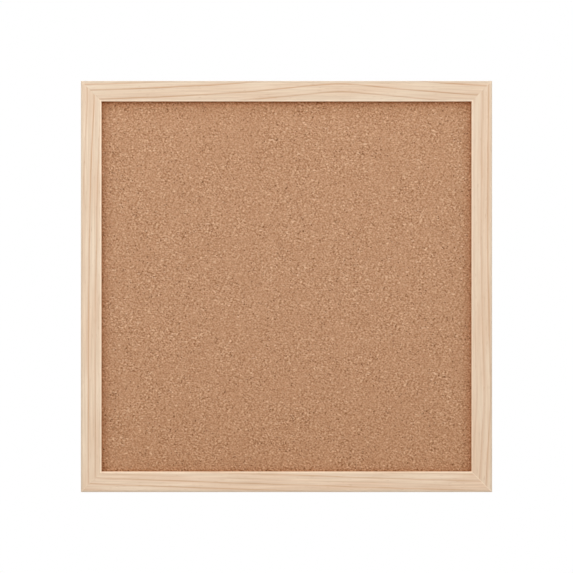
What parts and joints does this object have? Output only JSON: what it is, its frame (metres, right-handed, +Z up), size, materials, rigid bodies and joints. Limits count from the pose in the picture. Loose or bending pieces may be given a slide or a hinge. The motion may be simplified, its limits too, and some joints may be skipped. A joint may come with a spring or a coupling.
{
  "type": "cork board",
  "caption": "Square cork notice board for a wall: pressed cork sheet on a soft core, held in a mitred pine frame, with swinging D-ring hangers and bumpers on the back.",
  "frame": {"origin": "middle of the board on the wall plane, which the wall bumpers and the hangers' backs set", "axes": "+Z up, +X to the right as the cork face is seen, +Y into the wall; the cork face looks along -Y"},
  "size_m": [0.3, 0.019, 0.3],
  "materials": {
    "pine": "satin",
    "cork": "matte",
    "softboard": "matte",
    "kraft_paper": "matte",
    "nail_steel": "satin",
    "zinc_steel": "satin",
    "bumper_rubber": "matte"
  },
  "bodies": {
    "board": {"top_rail": "pine", "right_stile": "pine", "bottom_rail": "pine", "left_stile": "pine", "v_nail_top_right_outer": "nail_steel", "v_nail_top_right_inner": "nail_steel", "v_nail_bottom_right_outer": "nail_steel", "v_nail_bottom_right_inner": "nail_steel", "v_nail_bottom_left_outer": "nail_steel", "v_nail_bottom_left_inner": "nail_steel", "v_nail_top_left_outer": "nail_steel", "v_nail_top_left_inner": "nail_steel", "cork_sheet": "cork", "softboard_core": "softboard", "backing_liner": "kraft_paper", "left_hanger_strap": "zinc_steel", "left_hanger_screw": "zinc_steel", "right_hanger_strap": "zinc_steel", "right_hanger_screw": "zinc_steel", "left_wall_bumper": "bumper_rubber", "right_wall_bumper": "bumper_rubber"},
    "left_ring": {"left_hanger_ring": "zinc_steel"},
    "right_ring": {"right_hanger_ring": "zinc_steel"}
  },
  "joints": [
    {"name": "left_ring_swing", "type": "hinge", "parent": "board", "child": "left_ring", "pos_m": [-0.143, -0.00205, 0.08], "axis": [1, 0, 0], "range_deg": [0, 178]},
    {"name": "right_ring_swing", "type": "hinge", "parent": "board", "child": "right_ring", "pos_m": [0.143, -0.00205, 0.08], "axis": [1, 0, 0], "range_deg": [0, 178]}
  ]
}
